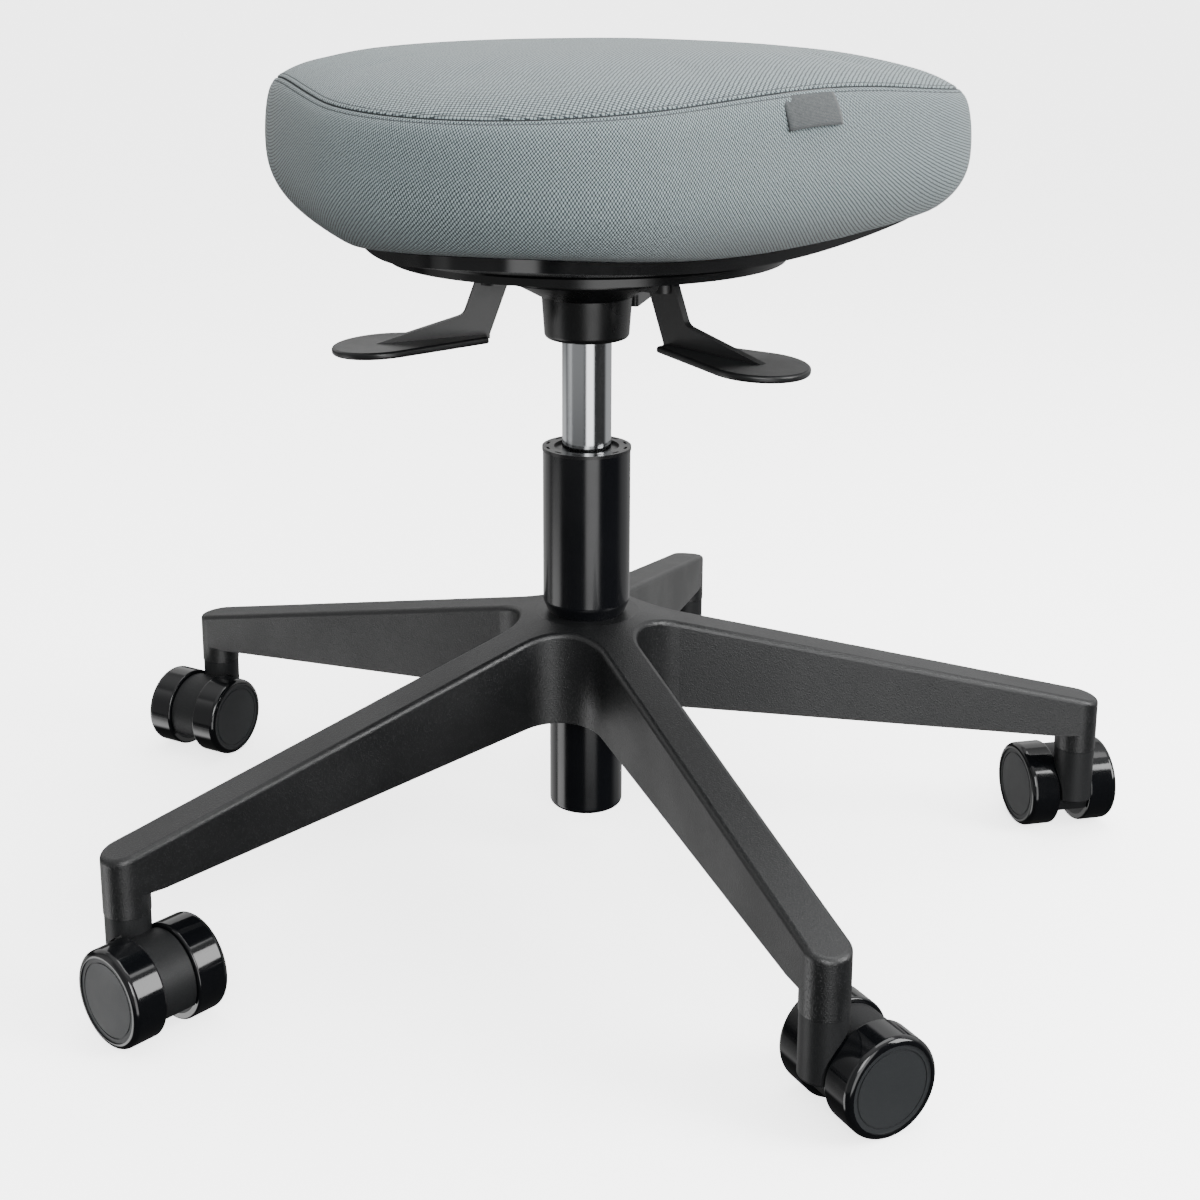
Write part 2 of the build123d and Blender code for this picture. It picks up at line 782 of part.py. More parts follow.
def dished_slab(bottom, thickness):
    """A round slab whose underside follows the pan's dish, starting at a height."""
    return revolve(
        ring_profile(
            [
                (0, bottom),
                (pan_step_radius, bottom),
                (dish_reach, bottom + dish_rise),
                (dish_reach, bottom + dish_rise + thickness),
                (pan_step_radius, bottom + thickness),
                (0, bottom + thickness),
            ]
        ),
        axis=Axis.Z,
        mode=Mode.PRIVATE,
    )


# Seat board: pressed plywood that follows the dish and takes the screws
board_side = pan_side_reach - board_inset
board_vertex = pan_vertex_reach - board_inset
board_top = board_bottom + board_thickness
with BuildPart() as seat_board:
    extrude(
        triangle_face(board_bottom, board_side, board_vertex, pan_bow),
        amount=dish_rise + board_thickness,
    )
    add(dished_slab(board_bottom, board_thickness), mode=Mode.INTERSECT)
    with BuildSketch(Plane.XY.offset(board_bottom)):
        with Locations((0, tilt_axis_back)):
            with GridLocations(screw_spread, screw_pitch, 2, 2):
                Circle(nut_barrel_diameter / 2 + press_gap)
    extrude(amount=board_thickness, mode=Mode.SUBTRACT)
    with BuildSketch(Plane.XY.offset(board_top - nut_flange_thickness)):
        with Locations((0, tilt_axis_back)):
            with GridLocations(screw_spread, screw_pitch, 2, 2):
                Circle(nut_flange_diameter / 2 + press_gap)
    extrude(amount=nut_flange_thickness, mode=Mode.SUBTRACT)
write_node(seat_board.part, "seat_board")


# Tee nuts in the board, and the screws that hold bracket, pan and board together
with BuildPart() as board_nuts:
    for reach, low in (
        (nut_barrel_diameter / 2, board_bottom),
        (nut_flange_diameter / 2, board_top - nut_flange_thickness),
    ):
        with BuildSketch(Plane.XY.offset(low)):
            with Locations((0, tilt_axis_back)):
                with GridLocations(screw_spread, screw_pitch, 2, 2):
                    Circle(reach)
        extrude(amount=board_top - low)
    with BuildSketch(Plane.XY.offset(board_bottom)):
        with Locations((0, tilt_axis_back)):
            with GridLocations(screw_spread, screw_pitch, 2, 2):
                Circle(screw_diameter / 2 + press_gap)
    extrude(amount=board_thickness, mode=Mode.SUBTRACT)
write_node(board_nuts.part, "board_nuts")

with BuildPart() as seat_screws:
    for reach, low, high in (
        (screw_head_diameter / 2, bracket_bottom - screw_head_height, bracket_bottom),
        (screw_diameter / 2, bracket_bottom - screw_head_height, board_top - nut_flange_thickness),
    ):
        with BuildSketch(Plane.XY.offset(low)):
            with Locations((0, tilt_axis_back)):
                with GridLocations(screw_spread, screw_pitch, 2, 2):
                    Circle(reach)
        extrude(amount=high - low)
    with BuildSketch(Plane.XY.offset(bracket_bottom - screw_head_height)):
        with Locations((0, tilt_axis_back)):
            with GridLocations(screw_spread, screw_pitch, 2, 2):
                RegularPolygon(screw_diameter / 2, 6)
    extrude(amount=screw_head_height / 2, mode=Mode.SUBTRACT)
write_node(seat_screws.part, "seat_screws")


# Cushion: crowned foam form whose sides swell below the seam and draw in to the pan
undercut_steps = [1.0, 0.8, 0.6, 0.35]
wall_steps = [0.0, 0.5, 1.0]
crown_steps = [0.92, 0.75, 0.5, 0.25, 0.05]
undercut_power = 2.8
wall_power = 2.2
crown_power = 2.4


def cushion_level(height, drawn_in, share):
    """One level of the cushion: its outline drawn in by a size and scaled by a share."""
    side = (cushion_side_reach - drawn_in) * share
    vertex = (cushion_vertex_reach - drawn_in) * share
    return triangle_face(height, side, vertex, side * cushion_bow)


undercut_levels = [
    cushion_level(bulge_height - cushion_undercut_height * step, cushion_undercut * step**undercut_power, 1)
    for step in undercut_steps
]
wall_levels = [
    cushion_level(bulge_height + cushion_wall_height * step, cushion_wall_draw * step**wall_power, 1)
    for step in wall_steps
]
crown_levels = [
    cushion_level(seam_height + cushion_crown_height * (1 - step**crown_power), cushion_wall_draw, step)
    for step in crown_steps
]
board_pocket = triangle_face(board_bottom, board_side + resting_gap, board_vertex + resting_gap, pan_bow)
with BuildPart() as board_room:
    extrude(board_pocket, amount=dish_rise + board_thickness + resting_gap)
    add(dished_slab(board_bottom, board_thickness + resting_gap), mode=Mode.INTERSECT)
with BuildPart() as seat_cushion:
    loft(undercut_levels + wall_levels)
    loft(wall_levels[-1:] + crown_levels)
    add(
        dished_slab(pan_floor_top + resting_gap - cushion_undercut_height, cushion_undercut_height),
        mode=Mode.SUBTRACT,
    )
    add(board_room.part, mode=Mode.SUBTRACT)
write_node(seat_cushion.part, "seat_cushion")


# Seat tag: bare woven label sewn into the seam on the right front side
side_normal = Vector(1, 0, 0).rotate(Axis.Z, -30)
side_along = Vector(1, 0, 0).rotate(Axis.Z, 60)
tag_reach = cushion_side_reach - cushion_wall_draw + 2 * resting_gap
tag_hang = side_normal * sin(radians(tag_lean)) - Vector(0, 0, cos(radians(tag_lean)))
tag_top = side_normal * tag_reach + side_along * tag_from_side_middle + Vector(0, 0, seam_height)
tag_middle = tag_top + tag_hang * (tag_drop / 2)
tag_plane = Plane(origin=tag_middle, x_dir=side_along, z_dir=tag_hang.cross(side_along))
with BuildPart() as seat_tag:
    with BuildSketch(tag_plane):
        Rectangle(tag_length, tag_drop)
    extrude(amount=tag_thickness)
write_node(seat_tag.part, "seat_tag")


# Casters: one set of pieces, built with the stem on the Z axis and the wheels trailing along +X
hood_radius = wheel_diameter / 2 - hood_inset
hood_width = wheel_gap - 2 * wheel_side_gap
neck_top = boss_bottom - resting_gap
envelope_radius = wheel_diameter / 2 + wheel_side_gap * 2
axle_radius = axle_diameter / 2
stem_radius = stem_diameter / 2
stem_top = boss_bottom + stem_in_boss
stem_bottom = neck_top - stem_in_neck
wheel_inner_face = wheel_gap / 2
wheel_outer_face = wheel_inner_face + wheel_width
axle_plane = Plane(origin=(caster_trail, 0, axle_height), x_dir=(1, 0, 0), z_dir=(0, 1, 0))

with BuildPart() as caster_housing:
    with BuildSketch(Plane.XY.offset(neck_floor_gap)):
        Circle(neck_diameter / 2)
    extrude(amount=neck_top - neck_floor_gap)
    fillet(caster_housing.edges().group_by(Axis.Z)[0], neck_edge_round)
    for side in (-1, 1):
        with BuildSketch(axle_plane.offset(side * hood_width / 2)):
            Circle(envelope_radius)
        extrude(amount=side * neck_diameter, mode=Mode.SUBTRACT)
    with BuildSketch(axle_plane):
        Circle(hood_radius)
        with Locations((0, hood_skirt)):
            Rectangle(3 * hood_radius, 2 * hood_radius, align=(Align.CENTER, Align.MIN), mode=Mode.SUBTRACT)
    extrude(amount=hood_width / 2, both=True)
    with BuildSketch(axle_plane):
        Circle(axle_radius + press_gap)
    extrude(amount=hood_width, both=True, mode=Mode.SUBTRACT)
    with BuildSketch(Plane.XY.offset(stem_bottom)):
        Circle(stem_radius + press_gap)
    extrude(amount=neck_top - stem_bottom, mode=Mode.SUBTRACT)

with BuildPart() as caster_stem:
    with BuildSketch(Plane.XY.offset(stem_bottom)):
        Circle(stem_radius)
    extrude(amount=stem_top - stem_bottom)
    fillet(caster_stem.edges().group_by(Axis.Z)[-1], stem_tip_round)
    with BuildSketch(Plane.XY.offset(ring_height - running_gap)):
        Circle(stem_diameter)
        Circle(stem_radius - ring_groove_depth, mode=Mode.SUBTRACT)
    extrude(amount=ring_thickness + 2 * running_gap, mode=Mode.SUBTRACT)

with BuildPart() as caster_axle:
    with BuildSketch(axle_plane):
        Circle(axle_radius)
    extrude(amount=wheel_outer_face - axle_end_cover, both=True)


def build_wheel(side):
    """Wheel disc and tyre on one side of the hood (+1 or -1 along the axle)."""
    inner = axle_plane.offset(side * wheel_inner_face)
    outer_face = wheel_width - disc_inset
    rib_depth = outer_face - disc_wall
    with BuildPart() as disc:
        with BuildSketch(inner):
            Circle(disc_diameter / 2)
        extrude(amount=side * outer_face)
        with BuildSketch(inner):
            Circle(disc_diameter / 2 - disc_wall)
            Circle(disc_hub_diameter / 2, mode=Mode.SUBTRACT)
        extrude(amount=side * rib_depth, mode=Mode.SUBTRACT)
        with BuildSketch(inner):
            Circle(axle_radius + running_gap)
        extrude(amount=side * (wheel_width - axle_end_cover + resting_gap), mode=Mode.SUBTRACT)
        with BuildSketch(inner.offset(side * outer_face)):
            Circle(groove_diameter / 2)
            Circle(groove_diameter / 2 - groove_width, mode=Mode.SUBTRACT)
        extrude(amount=-side * groove_depth, mode=Mode.SUBTRACT)
    with BuildPart() as tyre:
        with BuildSketch(inner):
            Circle(wheel_diameter / 2)
            Circle(disc_diameter / 2 + press_gap, mode=Mode.SUBTRACT)
        extrude(amount=side * wheel_width)
        rims = tyre.edges().filter_by(GeomType.CIRCLE).sort_by(SortBy.RADIUS)[-2:].sort_by(Axis.Y)
        fillet(rims[-1] if side > 0 else rims[0], wheel_shoulder)
        fillet(tyre.edges().filter_by(GeomType.CIRCLE).sort_by(SortBy.RADIUS)[-1], wheel_inner_edge)
    return disc.part, tyre.part


disc_left, tyre_left = build_wheel(1)
disc_right, tyre_right = build_wheel(-1)
caster_pieces = {
    "caster_housing_{}": caster_housing.part,
    "caster_stem_{}": caster_stem.part,
    "caster_axle_{}": caster_axle.part,
    "wheel_{}_left": disc_left,
    "wheel_{}_right": disc_right,
    "tyre_{}_left": tyre_left,
    "tyre_{}_right": tyre_right,
}
for index, heading in enumerate(caster_headings):
    stand = Vector(caster_circle_radius, 0, 0).rotate(Axis.Z, 90 + index * 360 / arm_count)
    place = Location(stand, (0, 0, heading))
    for pattern, piece in caster_pieces.items():
        write_node(piece.moved(place), pattern.format(index + 1))
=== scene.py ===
from math import atan2, cos, pi, radians, sin, sqrt, tan

import bpy
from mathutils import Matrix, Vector


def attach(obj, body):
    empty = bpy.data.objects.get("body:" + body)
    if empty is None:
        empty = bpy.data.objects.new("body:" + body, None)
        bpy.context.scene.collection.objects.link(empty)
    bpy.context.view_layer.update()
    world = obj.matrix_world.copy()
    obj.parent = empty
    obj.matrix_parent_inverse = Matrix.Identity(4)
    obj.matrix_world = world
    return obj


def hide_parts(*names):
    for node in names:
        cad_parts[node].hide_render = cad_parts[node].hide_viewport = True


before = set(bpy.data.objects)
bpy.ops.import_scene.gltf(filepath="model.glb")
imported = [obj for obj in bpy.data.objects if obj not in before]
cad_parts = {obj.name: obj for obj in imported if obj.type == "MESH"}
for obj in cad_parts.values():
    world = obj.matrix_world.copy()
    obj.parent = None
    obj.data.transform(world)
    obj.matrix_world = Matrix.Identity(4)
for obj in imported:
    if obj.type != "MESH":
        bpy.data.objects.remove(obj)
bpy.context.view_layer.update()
scene = bpy.context.scene


# Camera: stands a metre from the stool, a little above the seat and to its right, and
# looks slightly down. Its frame is shifted down, so the uprights stay near upright.
camera_down = 13.74
camera_turn = 15.15
camera_data = bpy.data.cameras.new("photo_camera")
camera_data.lens = 55.26
camera_data.sensor_width = 36.0
camera_data.shift_x = 0.024
camera_data.shift_y = -0.15
camera = bpy.data.objects.new("photo_camera", camera_data)
camera.location = (0.2562, -0.9799, 0.5079)
camera.rotation_euler = (radians(90 - camera_down), 0.0, radians(camera_turn))
scene.collection.objects.link(camera)
scene.camera = camera


# Studio: a pale floor, soft boxes above, in front and to the right, and upright soft
# strips with dark gaps between them, which give the steel and the gloss black their bands.
def link_math(nodes, links, operation, first, second=None):
    """A Math node in a node tree, fed by sockets or plain numbers."""
    step = nodes.new("ShaderNodeMath")
    step.operation = operation
    for socket, value in zip(step.inputs, (first, second)):
        if value is None:
            continue
        if isinstance(value, (int, float)):
            socket.default_value = value
        else:
            links.new(value, socket)
    return step.outputs[0]


def smooth_ramp(nodes, links, value, from_low, from_high, to_low=0.0, to_high=1.0):
    """A smooth step of a socket's value from one range to another."""
    ramp = nodes.new("ShaderNodeMapRange")
    ramp.interpolation_type = "SMOOTHSTEP"
    ramp.inputs["From Min"].default_value = from_low
    ramp.inputs["From Max"].default_value = from_high
    ramp.inputs["To Min"].default_value = to_low
    ramp.inputs["To Max"].default_value = to_high
    links.new(value, ramp.inputs["Value"])
    return ramp.outputs["Result"]


studio_world = bpy.data.worlds.new("studio")
studio_world.use_nodes = True
scene.world = studio_world
world_nodes = studio_world.node_tree.nodes
world_links = studio_world.node_tree.links
world_nodes.clear()
direction = world_nodes.new("ShaderNodeTexCoord")
split_direction = world_nodes.new("ShaderNodeSeparateXYZ")
world_links.new(direction.outputs["Generated"], split_direction.inputs[0])
azimuth = link_math(
    world_nodes, world_links, "ARCTAN2", split_direction.outputs["Y"], split_direction.outputs["X"]
)
strips = [
    (-60.0, 17.0, 5.0, 3.0, -0.385, 0.65),
    (-125.0, 40.0, 10.0, 0.3, -0.25, 0.65),
    (-164.0, 15.0, 6.0, 0.4, -0.25, 0.65),
    (-164.0, 15.0, 6.0, 3.0, -0.7, -0.3),
    (62.0, 40.0, 12.0, 0.45, -0.45, 0.1),
    (145.0, 30.0, 12.0, 0.7, -0.6, -0.2),
    (98.0, 75.0, 15.0, 0.9, 0.1, 0.65),
]
strip_edge = 0.04
strip_light = 0.045
for centre, half_width, softness, brightness, foot, head in strips:
    away = link_math(world_nodes, world_links, "SUBTRACT", azimuth, radians(centre))
    away = link_math(world_nodes, world_links, "ABSOLUTE", away)
    glow = smooth_ramp(
        world_nodes,
        world_links,
        away,
        radians(half_width + softness),
        radians(half_width - softness),
        0.0,
        brightness,
    )
    for height, sign in ((foot, 1), (head, -1)):
        inside = smooth_ramp(
            world_nodes,
            world_links,
            split_direction.outputs["Z"],
            height - sign * strip_edge,
            height + sign * strip_edge,
        )
        glow = link_math(world_nodes, world_links, "MULTIPLY", glow, inside)
    strip_light = link_math(world_nodes, world_links, "ADD", glow, strip_light)
roof_foot = 0.5
roof_head = 0.95
roof_brightness = 0.9
roof_light = smooth_ramp(
    world_nodes, world_links, split_direction.outputs["Z"], roof_foot, roof_head, 0.0, roof_brightness
)
studio_light = link_math(world_nodes, world_links, "ADD", strip_light, roof_light)
lit_side = world_nodes.new("ShaderNodeBackground")
lit_side.inputs["Color"].default_value = (1.0, 1.0, 1.0, 1.0)
world_links.new(studio_light, lit_side.inputs["Strength"])
backdrop_brightness = 3.6
seen_side = world_nodes.new("ShaderNodeBackground")
seen_side.inputs["Color"].default_value = (1.0, 1.0, 1.0, 1.0)
seen_side.inputs["Strength"].default_value = backdrop_brightness
ray_kind = world_nodes.new("ShaderNodeLightPath")
world_choice = world_nodes.new("ShaderNodeMixShader")
world_links.new(ray_kind.outputs["Is Camera Ray"], world_choice.inputs["Fac"])
world_links.new(lit_side.outputs[0], world_choice.inputs[1])
world_links.new(seen_side.outputs[0], world_choice.inputs[2])
world_end = world_nodes.new("ShaderNodeOutputWorld")
world_links.new(world_choice.outputs[0], world_end.inputs["Surface"])


def soft_box(name, place, aim, width, height, power):
    """A soft area light at a place, turned towards a point."""
    light = bpy.data.lights.new(name, "AREA")
    light.shape = "RECTANGLE"
    light.size = width
    light.size_y = height
    light.energy = power
    lamp = bpy.data.objects.new(name, light)
    lamp.location = place
    lamp.rotation_euler = (Vector(aim) - Vector(place)).to_track_quat("-Z", "Y").to_euler()
    scene.collection.objects.link(lamp)


soft_box("overhead_box", (0.35, 0.3, 1.9), (0.0, 0.0, 0.4), 1.4, 1.4, 15.0)
soft_box("right_box", (1.7, -0.2, 0.9), (0.0, 0.0, 0.35), 0.8, 1.2, 28.0)
soft_box("front_box", (0.55, -1.9, 1.0), (0.0, 0.0, 0.35), 0.7, 1.0, 15.0)


def node_material(name):
    """A new material with one shader, and its node tree's parts."""
    material = bpy.data.materials.new(name)
    material.use_nodes = True
    nodes = material.node_tree.nodes
    links = material.node_tree.links
    shader = nodes["Principled BSDF"]
    return material, nodes, links, shader


def set_shader(material, values):
    """Plain numbers on a material's shader."""
    shader = material.node_tree.nodes["Principled BSDF"]
    for label, value in values.items():
        shader.inputs[label].default_value = value


def mix_tones(nodes, links, share, low_tone, high_tone):
    """A colour between two tones, by a share that varies over the surface."""
    mix = nodes.new("ShaderNodeMix")
    mix.data_type = "RGBA"
    mix.inputs["A"].default_value = (*low_tone, 1.0)
    mix.inputs["B"].default_value = (*high_tone, 1.0)
    links.new(share, mix.inputs["Factor"])
    return mix.outputs["Result"]


def raise_surface(nodes, links, shader, height, strength, distance):
    """A bump on a shader, from a height that varies over the surface."""
    bump = nodes.new("ShaderNodeBump")
    bump.inputs["Strength"].default_value = strength
    bump.inputs["Distance"].default_value = distance
    links.new(height, bump.inputs["Height"])
    links.new(bump.outputs["Normal"], shader.inputs["Normal"])


def mesh_piece(name, points, faces, material):
    """A smooth-shaded mesh object from points and faces, in the stool's frame."""
    mesh = bpy.data.meshes.new(name)
    mesh.from_pydata(points, [], faces)
    mesh.update()
    mesh.polygons.foreach_set("use_smooth", [True] * len(mesh.polygons))
    mesh.materials.append(material)
    piece = bpy.data.objects.new(name, mesh)
    scene.collection.objects.link(piece)
    return piece


floor_material, nodes, links, shader = node_material("pale_floor")
floor_coords = nodes.new("ShaderNodeTexCoord")
floor_cloud = nodes.new("ShaderNodeTexNoise")
floor_cloud.inputs["Scale"].default_value = 3.0
links.new(floor_coords.outputs["Object"], floor_cloud.inputs["Vector"])
floor_tone = mix_tones(nodes, links, floor_cloud.outputs["Fac"], (2.15, 2.15, 2.15), (2.25, 2.25, 2.25))
links.new(floor_tone, shader.inputs["Base Color"])
shader.inputs["Emission Color"].default_value = (1.0, 1.0, 1.0, 1.0)
set_shader(floor_material, {"Roughness": 0.7, "Specular IOR Level": 0.2, "Emission Strength": 2.4})
floor_shade = nodes.new("ShaderNodeBsdfDiffuse")
floor_shade.inputs["Color"].default_value = (0.12, 0.12, 0.12, 1.0)
floor_ray = nodes.new("ShaderNodeLightPath")
floor_choice = nodes.new("ShaderNodeMixShader")
links.new(floor_ray.outputs["Is Camera Ray"], floor_choice.inputs["Fac"])
links.new(floor_shade.outputs["BSDF"], floor_choice.inputs[1])
links.new(shader.outputs["BSDF"], floor_choice.inputs[2])
links.new(floor_choice.outputs["Shader"], nodes["Material Output"].inputs["Surface"])
floor_reach = 60.0
floor_corners = [
    (-floor_reach, -floor_reach, 0.0),
    (floor_reach, -floor_reach, 0.0),
    (floor_reach, floor_reach, 0.0),
    (-floor_reach, floor_reach, 0.0),
]
floor = mesh_piece("floor", floor_corners, [(0, 1, 2, 3)], floor_material)
floor.visible_glossy = False


# Star base: five ribs and a hub moulded in one shot of glass-filled nylon. The mould is
# spark-eroded, so the black skin is finely grained and only half shiny.
def new_group(name, inputs, outputs):
    """An empty shader node group with named sockets, and its tree's parts."""
    group = bpy.data.node_groups.new(name, "ShaderNodeTree")
    for label, kind, value in inputs:
        socket = group.interface.new_socket(label, in_out="INPUT", socket_type=kind)
        if value is not None:
            socket.default_value = value
    for label, kind in outputs:
        group.interface.new_socket(label, in_out="OUTPUT", socket_type=kind)
    entry = group.nodes.new("NodeGroupInput")
    end = group.nodes.new("NodeGroupOutput")
    return group, group.nodes, group.links, entry, end


def place_group(nodes, group, values):
    """One use of a node group in a material, with its own values."""
    use = nodes.new("ShaderNodeGroup")
    use.node_tree = group
    for label, value in values.items():
        use.inputs[label].default_value = value
    return use


grain_strength = 0.5
fleck_height = 0.45
spark_grain, nodes, links, entry, end = new_group(
    "spark_grain",
    [("Grains per metre", "NodeSocketFloat", 1500.0)],
    [("Height", "NodeSocketFloat"), ("Fleck", "NodeSocketFloat"), ("Cloud", "NodeSocketFloat")],
)
grain_coords = nodes.new("ShaderNodeTexCoord")
pits = nodes.new("ShaderNodeTexNoise")
pits.inputs["Detail"].default_value = 3.0
pits.inputs["Roughness"].default_value = 0.6
flecks = nodes.new("ShaderNodeTexVoronoi")
clouds = nodes.new("ShaderNodeTexNoise")
clouds.inputs["Scale"].default_value = 22.0
clouds.inputs["Detail"].default_value = 4.0
for texture in (pits, flecks, clouds):
    links.new(grain_coords.outputs["Object"], texture.inputs["Vector"])
links.new(entry.outputs["Grains per metre"], pits.inputs["Scale"])
links.new(entry.outputs["Grains per metre"], flecks.inputs["Scale"])
fleck_mask = smooth_ramp(nodes, links, flecks.outputs["Distance"], 0.42, 0.1)
grain_height = link_math(nodes, links, "MULTIPLY", fleck_mask, fleck_height)
grain_height = link_math(nodes, links, "ADD", grain_height, pits.outputs["Fac"])
links.new(grain_height, end.inputs["Height"])
links.new(fleck_mask, end.inputs["Fleck"])
links.new(clouds.outputs["Fac"], end.inputs["Cloud"])


def grained_plastic(name, dark, light, roughness, grains, depth):
    """Moulded plastic with a grained skin: colour and shine vary with the grain."""
    material, nodes, links, shader = node_material(name)
    grain = place_group(nodes, spark_grain, {"Grains per metre": grains})
    tone = mix_tones(nodes, links, grain.outputs["Fleck"], dark, light)
    links.new(tone, shader.inputs["Base Color"])
    shine = smooth_ramp(nodes, links, grain.outputs["Cloud"], 0.3, 0.7, *roughness)
    links.new(shine, shader.inputs["Roughness"])
    raise_surface(nodes, links, shader, grain.outputs["Height"], grain_strength, depth)
    return material


def dress(material, *names):
    """Put a material on solids that are shown as they are."""
    for name in names:
        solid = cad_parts[name]
        solid.data.materials.clear()
        solid.data.materials.append(material)


base_nylon = grained_plastic(
    "base_nylon",
    dark=(0.007, 0.0076, 0.0082),
    light=(0.016, 0.017, 0.018),
    roughness=(0.34, 0.42),
    grains=1100.0,
    depth=0.0003,
)
set_shader(base_nylon, {"Specular IOR Level": 0.75})
dress(base_nylon, "star_base")


# Column: stepped steel tube with a deep gloss black coat, pressed into the hub's taper.
# The coat is smooth, with faint handling haze and a trace of orange peel.
ripple_strength = 0.3
handling_haze, nodes, links, entry, end = new_group(
    "handling_haze",
    [
        ("Patches per metre", "NodeSocketFloat", 30.0),
        ("Clean", "NodeSocketFloat", 0.08),
        ("Hazed", "NodeSocketFloat", 0.16),
    ],
    [("Roughness", "NodeSocketFloat"), ("Ripple", "NodeSocketFloat")],
)
haze_coords = nodes.new("ShaderNodeTexCoord")
haze_patch = nodes.new("ShaderNodeTexNoise")
haze_patch.inputs["Detail"].default_value = 5.0
haze_ripple = nodes.new("ShaderNodeTexNoise")
haze_ripple.inputs["Scale"].default_value = 420.0
haze_ripple.inputs["Detail"].default_value = 1.0
links.new(haze_coords.outputs["Object"], haze_patch.inputs["Vector"])
links.new(haze_coords.outputs["Object"], haze_ripple.inputs["Vector"])
links.new(entry.outputs["Patches per metre"], haze_patch.inputs["Scale"])
haze_range = nodes.new("ShaderNodeMapRange")
haze_range.inputs["From Min"].default_value = 0.35
haze_range.inputs["From Max"].default_value = 0.75
links.new(haze_patch.outputs["Fac"], haze_range.inputs["Value"])
links.new(entry.outputs["Clean"], haze_range.inputs["To Min"])
links.new(entry.outputs["Hazed"], haze_range.inputs["To Max"])
links.new(haze_range.outputs["Result"], end.inputs["Roughness"])
links.new(haze_ripple.outputs["Fac"], end.inputs["Ripple"])


def hazed_finish(name, low_tone, high_tone, roughness, patches, ripple_depth):
    """A smooth coat or moulding whose shine and tone drift a little over the surface."""
    material, nodes, links, shader = node_material(name)
    clean, hazed = roughness
    haze = place_group(
        nodes, handling_haze, {"Patches per metre": patches, "Clean": clean, "Hazed": hazed}
    )
    links.new(haze.outputs["Roughness"], shader.inputs["Roughness"])
    tone = mix_tones(nodes, links, haze.outputs["Ripple"], low_tone, high_tone)
    links.new(tone, shader.inputs["Base Color"])
    raise_surface(nodes, links, shader, haze.outputs["Ripple"], ripple_strength, ripple_depth)
    return material


column_paint = hazed_finish(
    "column_paint",
    low_tone=(0.003, 0.0035, 0.005),
    high_tone=(0.005, 0.0055, 0.007),
    roughness=(0.16, 0.24),
    patches=30.0,
    ripple_depth=0.00002,
)
set_shader(column_paint, {"Coat Weight": 0.15, "Coat Roughness": 0.1})
dress(column_paint, "column_tube")


# Guide bush: black acetal sleeve in the column's mouth. Its flange shows as a ring with
# twelve slots, a touch duller than the painted tube under it.
bush_acetal = hazed_finish(
    "bush_acetal",
    low_tone=(0.006, 0.006, 0.007),
    high_tone=(0.01, 0.01, 0.011),
    roughness=(0.25, 0.36),
    patches=60.0,
    ripple_depth=0.00003,
)
dress(bush_acetal, "guide_bush", "rod_guide")


# Pressure tube: drawn steel with hard chrome, ground and then polished. The fine lines
# that run round it show only as a slight spread of each highlight.
chrome_plate, nodes, links, shader = node_material("chrome_plate")
chrome_coords = nodes.new("ShaderNodeTexCoord")
chrome_stretch = nodes.new("ShaderNodeMapping")
chrome_stretch.inputs["Scale"].default_value = (40.0, 40.0, 9000.0)
links.new(chrome_coords.outputs["Object"], chrome_stretch.inputs["Vector"])
chrome_lines = nodes.new("ShaderNodeTexNoise")
chrome_lines.inputs["Scale"].default_value = 1.0
chrome_lines.inputs["Detail"].default_value = 2.0
links.new(chrome_stretch.outputs["Vector"], chrome_lines.inputs["Vector"])
chrome_shine = smooth_ramp(nodes, links, chrome_lines.outputs["Fac"], 0.2, 0.8, 0.1, 0.17)
links.new(chrome_shine, shader.inputs["Roughness"])
chrome_tone = mix_tones(nodes, links, chrome_lines.outputs["Fac"], (0.6, 0.62, 0.64), (0.7, 0.72, 0.74))
links.new(chrome_tone, shader.inputs["Base Color"])
set_shader(chrome_plate, {"Metallic": 1.0})
dress(chrome_plate, "pressure_tube")


# Inner steel of the lift, bearings, pins and screws: plain turned or pressed steel, zinc
# grey, with slight clouding. Most of it is out of sight inside the column and seat.
plain_steel = hazed_finish(
    "plain_steel",
    low_tone=(0.4, 0.41, 0.42),
    high_tone=(0.5, 0.51, 0.52),
    roughness=(0.26, 0.42),
    patches=90.0,
    ripple_depth=0.00002,
)
set_shader(plain_steel, {"Metallic": 1.0})
dress(
    plain_steel,
    "thrust_bearing",
    "grip_rings",
    "piston_rod",
    "thrust_washer",
    "retaining_clip",
    "valve_plug",
    "release_pin",
    "tilt_pin",
    "board_nuts",
    "seat_screws",
)
stop_rubber = grained_plastic(
    "stop_rubber",
    dark=(0.012, 0.012, 0.012),
    light=(0.02, 0.02, 0.02),
    roughness=(0.6, 0.75),
    grains=900.0,
    depth=0.0001,
)
dress(stop_rubber, "bump_stop")


# Mechanism housing and tilt bracket: die-cast socket and plate with a pressed bracket,
# both in satin black powder coat with a fine pebble.
mechanism_paint = grained_plastic(
    "mechanism_paint",
    dark=(0.008, 0.0085, 0.009),
    light=(0.013, 0.0135, 0.014),
    roughness=(0.26, 0.36),
    grains=2200.0,
    depth=0.00005,
)
dress(mechanism_paint, "mechanism_housing", "tilt_bracket", "lever_pins")


# Levers: one-piece black nylon mouldings on pins in the housing. The strut's flat faces
# are satin, and the paddles catch the light along their rounded edges.
lever_nylon = grained_plastic(
    "lever_nylon",
    dark=(0.011, 0.0115, 0.012),
    light=(0.016, 0.0165, 0.017),
    roughness=(0.28, 0.38),
    grains=1900.0,
    depth=0.00005,
)
dress(lever_nylon, "height_lever", "tilt_lever")


